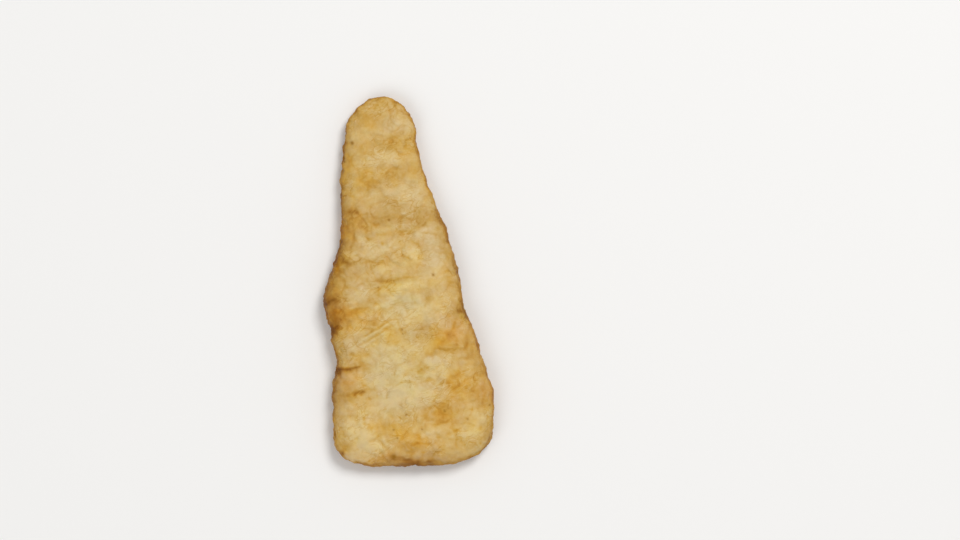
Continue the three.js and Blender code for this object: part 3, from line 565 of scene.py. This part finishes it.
def path_field(xy, path):
    """Signed distance to a path, above 0 to its left, and the path's strength there, 0 at its ends."""
    path = np.array(path, float)
    steps = np.diff(path, axis=0)
    lengths = np.hypot(*steps.T)
    start_at = np.concatenate([[0], np.cumsum(lengths)])
    nearest = np.full(len(xy), np.inf)
    side = np.ones(len(xy))
    place = np.zeros(len(xy))
    for k, step in enumerate(steps):
        offset = xy - path[k]
        share = np.clip(offset @ step / lengths[k] ** 2, 0, 1)
        gap = np.hypot(*(offset - share[:, None] * step).T)
        closer = gap < nearest
        nearest[closer] = gap[closer]
        side[closer] = np.sign(step[0] * offset[closer, 1] - step[1] * offset[closer, 0])
        place[closer] = (start_at[k] + share * lengths[k])[closer] / start_at[-1]
    strength = 1 - np.abs(2 * place - 1) ** PATH_FADE
    return nearest * side, strength


def crease_field(xy, creases):
    """How deep the creases are, or how high the ribs, above 0."""
    total = np.zeros(len(xy))
    for path, half_width, depth in creases:
        gap, strength = path_field(xy, path)
        total += depth * strength * np.exp(-((gap / half_width) ** 2))
    return total


def overlap_field(xy, overlaps):
    """Height of the laps: highest along the path, steep on one side and sloping away on the lap's."""
    total = np.zeros(len(xy))
    for path, rise, width in overlaps:
        gap, strength = path_field(xy, path)
        if rise < 0:
            gap, rise = -gap, -rise
        lap = np.exp(-((gap / width) ** 2))
        step = np.exp(-((gap / OVERLAP_STEP) ** 2))
        total += rise * strength * np.where(gap > 0, lap, step)
    return total


def crinkle_field(points):
    """How deep each point lies in the crinkles, in mm."""
    winding = strayed(points, points, CRINKLE_STRAYS)
    total = np.zeros(len(points))
    for size, depth, half_width, layer, gap_layer in CRINKLES:
        gaps = noise_field(points, CRINKLE_GAPS["size"], gap_layer)
        present = smoothstep(gaps, *CRINKLE_GAPS["between"])
        line = np.exp(-((noise_field(winding, size, layer) / half_width) ** 2))
        total += depth * present * line
    return total


def roughness_field(points, xy):
    """The uneven batter without its crinkles, in mm."""
    lumps = np.zeros(len(points))
    for size, rise, longer, layer in LUMPS:
        lumps += rise * noise_field(points / (longer, 1, 1), size, layer)
    across = points / (WRINKLES["longer"], 1, 1)
    narrow_half = smoothstep(xy[:, 1], *WRINKLES["between"])
    wrinkles = WRINKLES["rise"] * noise_field(across, WRINKLES["size"], WRINKLES["layer"]) * narrow_half
    cells = cell_field(points, BUBBLES["size"], BUBBLES["layer"])
    bubbles = BUBBLES["rise"] * (BUBBLES["level"] - cells)
    return lumps + wrinkles + bubbles


def outline_distance(points, normals):
    """Distance in plan from each point to the outline, where the wall stands upright."""
    upright = np.abs(normals[:, 2]) < UPRIGHT_FACING
    ring = points[upright]
    tree = kdtree.KDTree(len(ring))
    for k, p in enumerate(ring):
        tree.insert((p[0], p[1], 0), k)
    tree.balance()
    return np.array([tree.find((p[0], p[1], 0))[2] for p in points])


class Surface:
    """The finer fillet's vertices, in mm, and where on the piece each of them is."""

    def __init__(self, mesh):
        self.points = vertex_array(mesh, "vertices", "co") / MM
        self.normals = vertex_array(mesh, "vertex_normals", "vector")
        self.height = self.points[:, 2]
        self.places = self.points[:, :2] - PLACES_FROM
        self.inset = outline_distance(self.points, self.normals)
        self.on_top = smoothstep(self.normals[:, 2], *TOP_FACING)
        self.on_wall = 1 - self.on_top


def relief_fields(surface):
    """The relief by name, in mm, but the spots in steps of tone."""
    xy = strayed(surface.places, surface.points, RELIEF_STRAYS)
    return {
        "rough": roughness_field(surface.points, xy),
        "crinkles": crinkle_field(surface.points),
        "creases": crease_field(xy, CREASES),
        "ribs": crease_field(xy, RIBS),
        "lobes": patch_field(xy, LOBES) + blister_field(xy, scattered_blisters()),
        "overlaps": overlap_field(xy, OVERLAPS),
        "spots": patch_field(xy, SPOTS),
        "pits": speck_field(xy, PIT_DEPTH),
    }


def outward_moves(surface, relief):
    """How far each point moves along its normal, in mm."""
    fray = sum(rise * noise_field(surface.points, size, layer) for size, rise, layer in FRAY)
    near_edge = 1 - smoothstep(surface.inset, *FRAYED_INSETS)
    rougher = 1 + (WALL_LUMPS - 1) * surface.on_wall
    uneven = (relief["rough"] - relief["crinkles"]) * rougher + fray * near_edge
    shaped = relief["lobes"] + relief["ribs"] + relief["overlaps"] - relief["creases"]
    shaped = shaped + SPOT_RISE * relief["spots"] - relief["pits"]
    placed = surface.on_top * smoothstep(surface.inset, *SHAPED_INSETS) * shaped
    return (uneven + placed) * smoothstep(surface.height, *MOVING_HEIGHTS)


def move_surface(mesh, surface, relief):
    """Lays the relief on the mesh. No point goes below the floor."""
    moved = surface.points + surface.normals * outward_moves(surface, relief)[:, None]
    moved[:, 2] = np.maximum(moved[:, 2], 0)
    mesh.vertices.foreach_set("co", (moved * MM).ravel())
    mesh.update()
    for polygon in mesh.polygons:
        polygon.use_smooth = True


def relief_shading_and_browning(surface, relief):
    """How much paler the relief makes the crust: painted light on its rises and painted shade in its
    creases and crinkles, over the batter's own browning there.
    """
    everywhere = sum(TONE_OF[name] * relief[name] for name in ("rough", "lobes", "crinkles"))
    placed = sum(TONE_OF[name] * relief[name] for name in ("ribs", "creases")) + relief["spots"]
    return everywhere + placed * surface.on_top


def toasted_field(surface, xy, patch_share):
    """How toasted the crust is: in its patches, along its rim and at the foot of its wall."""
    breaks = 0.5 + 0.5 * noise_field(surface.points, TOAST_BREAKS["size"], TOAST_BREAKS["layer"])
    rim = 1 - smoothstep(surface.inset, *TOASTED_RIM["insets"])
    foot = 1 - smoothstep(surface.height, *TOASTED_FOOT["heights"])
    toasted = patch_field(xy, TOASTED) * patch_share
    toasted += TOASTED_RIM["strength"] * rim * breaks
    toasted += TOASTED_FOOT["strength"] * surface.on_wall * foot * breaks
    return toasted


def tone_field(surface, xy, relief):
    """How pale the crust is, with painted light and shade from its relief: 0 is burnt and 1 is cream."""
    low = 1 - smoothstep(surface.height, *WALL_FADE["heights"])
    patch_share = 1 - WALL_FADE["share"] * surface.on_wall * low
    tone = BASE_TONE + TONE_OF["patches"] * patch_field(xy, TONE_PATCHES) * patch_share
    # painted light on the relief's rises and painted shade in its creases and crinkles, over their browning
    tone += relief_shading_and_browning(surface, relief)
    tone += sum(
        change * surface.on_wall * noise_field(surface.points, size, layer)
        for size, change, layer in WALL_MOTTLES
    )
    rim = 1 - smoothstep(surface.inset, *RIM_INSETS)
    toasted = toasted_field(surface, xy, patch_share)
    tone += TONE_OF["rim"] * rim + TONE_OF["wall"] * surface.on_wall + TONE_OF["toasted"] * toasted
    return np.maximum(tone, LOWEST_TONE)


def vivid_field(surface, xy, relief):
    """How vivid the crust is: most of all in golden dimples, and in creases, whose richer gold is partly
    painted shade.
    """
    golden = (relief["spots"] - GOLDEN_OF_CREASES * relief["creases"]) * surface.on_top
    vivid = BASE_VIVID + VIVID_OF_PATCHES * patch_field(xy, VIVID_PATCHES)
    return vivid - VIVID_OF_GOLDEN * np.minimum(golden, 0)


def paint_masks(mesh, surface, relief):
    """Masks on the vertices, 0 to 1: how pale, vivid, pinkish and speck-burnt the crust is."""
    xy = strayed(surface.places, surface.points, MASK_STRAYS)
    masks = {
        "tone": tone_field(surface, xy, relief),
        "vivid": vivid_field(surface, xy, relief),
        "tint": BASE_TINT + TINT_OF_PATCHES * patch_field(xy, TINT_PATCHES),
        "speck": speck_field(surface.places, SPECK_STRENGTH) * surface.on_top,
    }
    for name, values in masks.items():
        layer = mesh.attributes.new(name, "FLOAT", "POINT")
        layer.data.foreach_set("value", np.clip(values, 0, 1).astype(np.float32))


def build_crust():
    crust = finer_copy(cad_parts["fillet"], "fillet_crust", FINER_LEVELS)
    surface = Surface(crust.data)
    relief = relief_fields(surface)
    move_surface(crust.data, surface, relief)
    paint_masks(crust.data, surface, relief)
    return crust


# -------------------------------- material

SHEEN = 0.019  # how much white the lights add to any colour on the crust, as a linear value
DARKEST = 0.002  # the least that a paint's red, green or blue can be, as a linear value


def srgb(red, green, blue):
    """A colour as it shows on a screen, 0 to 255, as the linear colour that a shader takes."""
    linear = [((c / 255 + 0.055) / 1.055) ** 2.4 for c in (red, green, blue)]
    return (*linear, 1.0)


def crust_colour(red, green, blue):
    """The paint that shows as this colour once the lights have added their sheen."""
    shown = srgb(red, green, blue)
    return (*[max(c - SHEEN, DARKEST) for c in shown[:3]], 1.0)


# From burnt through golden to pale cream: place on the scale of tone, dull and vivid colour there.
TONES = [
    (0.0, crust_colour(92, 55, 20), crust_colour(106, 62, 14)),
    (0.25, crust_colour(132, 90, 36), crust_colour(150, 97, 26)),
    (0.45, crust_colour(159, 115, 54), crust_colour(178, 123, 40)),
    (0.6, crust_colour(179, 138, 71), crust_colour(199, 147, 54)),
    (0.7, crust_colour(190, 153, 85), crust_colour(209, 162, 68)),
    (0.85, crust_colour(201, 171, 114), crust_colour(217, 180, 98)),
    (1.0, crust_colour(211, 188, 140), crust_colour(225, 197, 126)),
]
# What the colour is multiplied by where it is most greenish and most pinkish.
GREENEST = (0.95, 1.08, 0.95, 1.0)
PINKEST = (1.05, 0.92, 1.05, 1.0)
SPECK_BROWN = crust_colour(155, 110, 22)
SPECK_COVER = 0.85

# Patterns of noise in the crust, and the noise's levels from none of a pattern to all of it.
STREAKS = {"longer": 1.4, "degrees": 18}
BLOTCHES = {"size_mm": 6, "detail": 3, "twist": 0.8}
BLOTCH_LEVELS = (0.34, 0.66)
MOTTLES = {"size_mm": 2.8, "detail": 3, "twist": 1.2}
MOTTLE_LEVELS = (0.38, 0.62)
GRAIN = {"size_mm": 1, "twist": 0.5}
HUES = {"size_mm": 5, "twist": 0.6}
TINTS = {"size_mm": 3, "detail": 3}
PORES = {"size_mm": 0.8}
# Fine folds follow a level of noise, each with its crest along a level beside it.
LARGE_FOLDS = {"size_mm": 4, "longer": 1.8, "degrees": 28}
SMALL_FOLDS = {"size_mm": 2.2, "longer": 1.6, "degrees": 10}
SMALL_FOLDS_SHARE = 0.7
FOLD_LEVELS = (0.5, 0.565)  # of the furrow and of the crest
FOLD_HALF_WIDTH = 0.045
FOLD_CREST = -0.7  # a furrow is 1
FOLD_GAPS = {"size_mm": 9, "detail": 1}
FOLD_GAP_LEVELS = (0.42, 0.6)

# How much each pattern changes the tone, how vivid the crust is and its tint.
TONE_CHANGES = {"blotches": 0.03, "mottles": 0.045, "grain": 0.13, "folds": -0.095}
VIVID_CHANGE = 1.0
TINT_CHANGE = 0.4
# How high each pattern stands among the bumps that are too fine for the mesh.
BUMP_SHARES = {"mottles": 0.5, "pores": 1.0, "folds": -0.4}
BUMP_HEIGHT = 0.2 * MM
BUMP_STRENGTH = 0.5
CRUST_ROUGHNESS = (0.54, 0.66)  # between blotches and on them
CRUST_SPECULAR = 0.2


class Shader:
    """A material's node tree, with short ways to add the nodes used here."""

    def __init__(self, name):
        self.material = bpy.data.materials.new(name)
        self.material.use_nodes = True
        self.tree = self.material.node_tree
        self.surface = self.tree.nodes["Principled BSDF"]
        self.place = self.add("ShaderNodeTexCoord").outputs["Object"]

    def add(self, kind, **inputs):
        node = self.tree.nodes.new(kind)
        for key, value in inputs.items():
            self.put(node.inputs[key], value)
        return node

    def put(self, socket, value):
        """Links the socket to the value if that is a socket, and sets it if not."""
        if isinstance(value, bpy.types.NodeSocket):
            self.tree.links.new(value, socket)
        else:
            socket.default_value = value

    def mask(self, name):
        node = self.add("ShaderNodeAttribute")
        node.attribute_name = name
        return node.outputs["Fac"]

    def streaked(self, longer, degrees):
        """Places squeezed along a direction in plan, so that a pattern there comes out longer that way."""
        turn = (0, 0, math.radians(degrees))
        node = self.add("ShaderNodeMapping", Vector=self.place, Rotation=turn, Scale=(longer, 1, 1))
        node.vector_type = "TEXTURE"
        return node.outputs["Vector"]

    def noise(self, size_mm, detail=2, twist=0, place=None):
        look = {"Scale": 1 / (size_mm * MM), "Detail": detail, "Distortion": twist}
        return self.add("ShaderNodeTexNoise", Vector=place or self.place, **look).outputs["Fac"]

    def spread(self, value, low, high, to_low=0, to_high=1):
        """The value, with low to high stretched over to_low to to_high."""
        ends = {"From Min": low, "From Max": high, "To Min": to_low, "To Max": to_high}
        return self.add("ShaderNodeMapRange", Value=value, **ends).outputs["Result"]

    def plateaus(self, value, low, high):
        """0 at low and beyond it, 1 at high and beyond it, and a smooth step between them."""
        result = self.spread(value, low, high)
        result.node.interpolation_type = "SMOOTHSTEP"
        return result

    def ramp(self, value, stops):
        node = self.add("ShaderNodeValToRGB", Fac=value)
        elements = node.color_ramp.elements
        for position, _ in stops[len(elements):]:
            elements.new(position)
        for element, (position, colour) in zip(elements, stops):
            element.position = position
            element.color = colour
        return node.outputs["Color"]

    def math(self, operation, *values, clamp=False):
        node = self.add("ShaderNodeMath")
        node.operation = operation
        node.use_clamp = clamp
        for socket, value in zip(node.inputs, values):
            self.put(socket, value)
        return node.outputs["Value"]

    def plus(self, start, value, times):
        """start + value * times"""
        return self.math("MULTIPLY_ADD", value, times, start)

    def vary(self, start, pattern, change):
        """The start, raised where the pattern is above its middle and lowered where it is below."""
        middle = 0.5
        return self.plus(start, self.math("SUBTRACT", pattern, middle), change)

    def clamped(self, value, times=1.0):
        """value * times, kept to 0 to 1"""
        return self.math("MULTIPLY", value, times, clamp=True)

    def mix(self, share, a, b):
        node = self.add("ShaderNodeMix")
        node.data_type = "RGBA"
        self.put(node.inputs["Factor"], share)
        self.put(node.inputs["A"], a)
        self.put(node.inputs["B"], b)
        return node.outputs["Result"]

    def tinted(self, colour, tint):
        """The colour multiplied by the tint."""
        result = self.mix(1.0, colour, tint)
        result.node.blend_type = "MULTIPLY"
        return result


def streaked_folds(s, size_mm, longer, degrees):
    """Folds that come and go: 1 in a furrow, below 0 on the crest beside it and 0 between them."""
    level = s.noise(size_mm, detail=1, twist=0.8, place=s.streaked(longer, degrees))
    furrow, crest = (
        s.plateaus(s.math("ABSOLUTE", s.math("SUBTRACT", level, middle)), FOLD_HALF_WIDTH, 0)
        for middle in FOLD_LEVELS
    )
    present = s.plateaus(s.noise(**FOLD_GAPS), *FOLD_GAP_LEVELS)
    return s.math("MULTIPLY", s.plus(furrow, crest, FOLD_CREST), present)


def crust_patterns(s):
    """The patterns in the crust's colour, bumps and roughness, by name."""
    streaks = s.streaked(**STREAKS)
    large = streaked_folds(s, **LARGE_FOLDS)
    small = streaked_folds(s, **SMALL_FOLDS)
    return {
        "blotches": s.plateaus(s.noise(**BLOTCHES, place=streaks), *BLOTCH_LEVELS),
        "mottles": s.plateaus(s.noise(**MOTTLES, place=streaks), *MOTTLE_LEVELS),
        "grain": s.noise(**GRAIN),
        "pores": s.noise(**PORES),
        "folds": s.plus(large, small, SMALL_FOLDS_SHARE),
    }


def painted_crust(s, patterns):
    """The crust's colour, from its masks and patterns, with painted shade in the fine folds' furrows and
    painted light on their crests.
    """
    tone = s.mask("tone")
    for name in ("blotches", "mottles", "grain"):
        tone = s.vary(tone, patterns[name], TONE_CHANGES[name])
    # Each fine fold's furrow is darker, partly painted shade over its gold, and its crest paler, a painted
    # highlight.
    tone = s.plus(tone, patterns["folds"], TONE_CHANGES["folds"])
    dull = s.ramp(tone, [(place, colour) for place, colour, _ in TONES])
    vivid = s.ramp(tone, [(place, colour) for place, _, colour in TONES])
    vividness = s.vary(s.mask("vivid"), s.noise(**HUES), VIVID_CHANGE)
    colour = s.mix(s.clamped(vividness), dull, vivid)
    tint = s.vary(s.mask("tint"), s.noise(**TINTS), TINT_CHANGE)
    colour = s.tinted(colour, s.mix(tint, GREENEST, PINKEST))
    return s.mix(s.clamped(s.mask("speck"), SPECK_COVER), colour, SPECK_BROWN)


def bumped_crust(s, patterns):
    """The crust's normal, with bumps too fine for its mesh."""
    bumps = s.math("MULTIPLY", patterns["mottles"], BUMP_SHARES["mottles"])
    for name in ("pores", "folds"):
        bumps = s.plus(bumps, patterns[name], BUMP_SHARES[name])
    bump = s.add("ShaderNodeBump", Height=bumps, Strength=BUMP_STRENGTH, Distance=BUMP_HEIGHT)
    return bump.outputs["Normal"]


def crust_material():
    s = Shader("batter_crust")
    patterns = crust_patterns(s)
    s.put(s.surface.inputs["Base Color"], painted_crust(s, patterns))
    s.put(s.surface.inputs["Roughness"], s.spread(patterns["blotches"], 0, 1, *CRUST_ROUGHNESS))
    s.put(s.surface.inputs["Specular IOR Level"], CRUST_SPECULAR)
    s.put(s.surface.inputs["Normal"], bumped_crust(s, patterns))
    return s.material


# -------------------------------- stage, in metres

FLOOR_SIZE = 4.0
FLOOR_GAP = 0.2 * MM
FLOOR_COLOUR = srgb(240, 239, 237)
FLOOR_ROUGHNESS = 0.8

# Round lamps that face the fillet: name, place, width, watts.
LAMPS = [
    ("key", (0.8, 1.1, 2.0), 1.0, 31.0),
    ("fill", (-1.0, -1.2, 1.8), 1.6, 11.0),
]
SKY_COLOUR = (1, 1, 1, 1)
SKY_STRENGTH = 0.48

PHOTO_SIZE = (960, 540)  # pixels
MM_PER_PIXEL = 0.43
PLACES_AT = (409.4, 281.36)  # pixels, where PLACES_FROM shows
CAMERA_HEIGHT = 3.0
SENSOR_WIDTH = 36.0  # mm


def build_floor():
    half = FLOOR_SIZE / 2
    corners = [(-half, -half), (half, -half), (half, half), (-half, half)]
    mesh = bpy.data.meshes.new("floor")
    mesh.from_pydata([(x, y, -FLOOR_GAP) for x, y in corners], [], [(0, 1, 2, 3)])
    floor = bpy.data.objects.new("floor", mesh)
    bpy.context.scene.collection.objects.link(floor)
    paint = bpy.data.materials.new("floor_paint")
    paint.use_nodes = True
    surface = paint.node_tree.nodes["Principled BSDF"]
    surface.inputs["Base Color"].default_value = FLOOR_COLOUR
    surface.inputs["Roughness"].default_value = FLOOR_ROUGHNESS
    mesh.materials.append(paint)


def add_lamp(name, place, width, watts):
    light = bpy.data.lights.new(name, "AREA")
    light.shape = "DISK"
    light.size = width
    light.energy = watts
    lamp = bpy.data.objects.new(name, light)
    lamp.location = place
    lamp.rotation_euler = (-Vector(place)).to_track_quat("-Z", "Y").to_euler()
    bpy.context.scene.collection.objects.link(lamp)


def light_scene():
    for lamp in LAMPS:
        add_lamp(*lamp)
    world = bpy.data.worlds.new("studio")
    world.use_nodes = True
    sky = world.node_tree.nodes["Background"]
    sky.inputs["Color"].default_value = SKY_COLOUR
    sky.inputs["Strength"].default_value = SKY_STRENGTH
    bpy.context.scene.world = world
    bpy.context.scene.view_settings.view_transform = "Standard"


def place_camera():
    """Straight above the middle of the photograph's frame, so that the fillet shows left of it."""
    camera = bpy.data.cameras.new("camera")
    width, height = PHOTO_SIZE
    frame_width = width * MM_PER_PIXEL * MM
    camera.sensor_width = SENSOR_WIDTH
    camera.lens = camera.sensor_width * CAMERA_HEIGHT / frame_width
    eye = bpy.data.objects.new("camera", camera)
    right_of_places = (width / 2 - PLACES_AT[0]) * MM_PER_PIXEL
    beyond_places = (PLACES_AT[1] - height / 2) * MM_PER_PIXEL
    eye.location = (
        (PLACES_FROM[0] + right_of_places) * MM,
        (PLACES_FROM[1] + beyond_places) * MM,
        CAMERA_HEIGHT,
    )
    bpy.context.scene.collection.objects.link(eye)
    bpy.context.scene.camera = eye


crust = build_crust()
crust.data.materials.append(crust_material())
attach(crust, "root")
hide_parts("fillet")
build_floor()
light_scene()
place_camera()
